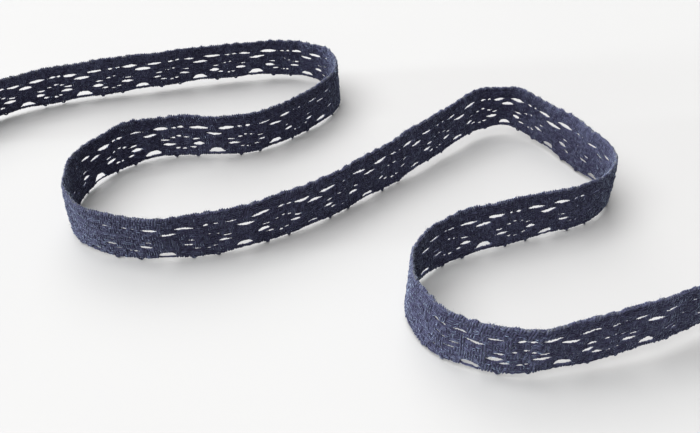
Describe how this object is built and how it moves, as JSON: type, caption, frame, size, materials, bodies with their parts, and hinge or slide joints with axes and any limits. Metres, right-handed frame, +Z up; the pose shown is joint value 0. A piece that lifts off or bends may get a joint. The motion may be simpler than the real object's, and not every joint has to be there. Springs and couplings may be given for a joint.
{
  "type": "cotton lace trim",
  "caption": "Narrow blue cotton lace trim with a straight edge and a scalloped edge, standing on the scallops in loose waves, for edging cloth.",
  "frame": {"origin": "on the floor that the scallops stand on, below the middle of the box of the whole waved length", "axes": "+X along the waves, from the left end to the right end; +Y away from the picture's camera; +Z up, from the scalloped edge to the straight edge"},
  "size_m": [0.2104, 0.1404, 0.0188],
  "materials": {
    "blue_cotton": "matte, slightly fuzzy cotton yarn"
  },
  "bodies": {
    "root": {"lace_band": "blue_cotton"}
  },
  "joints": []
}
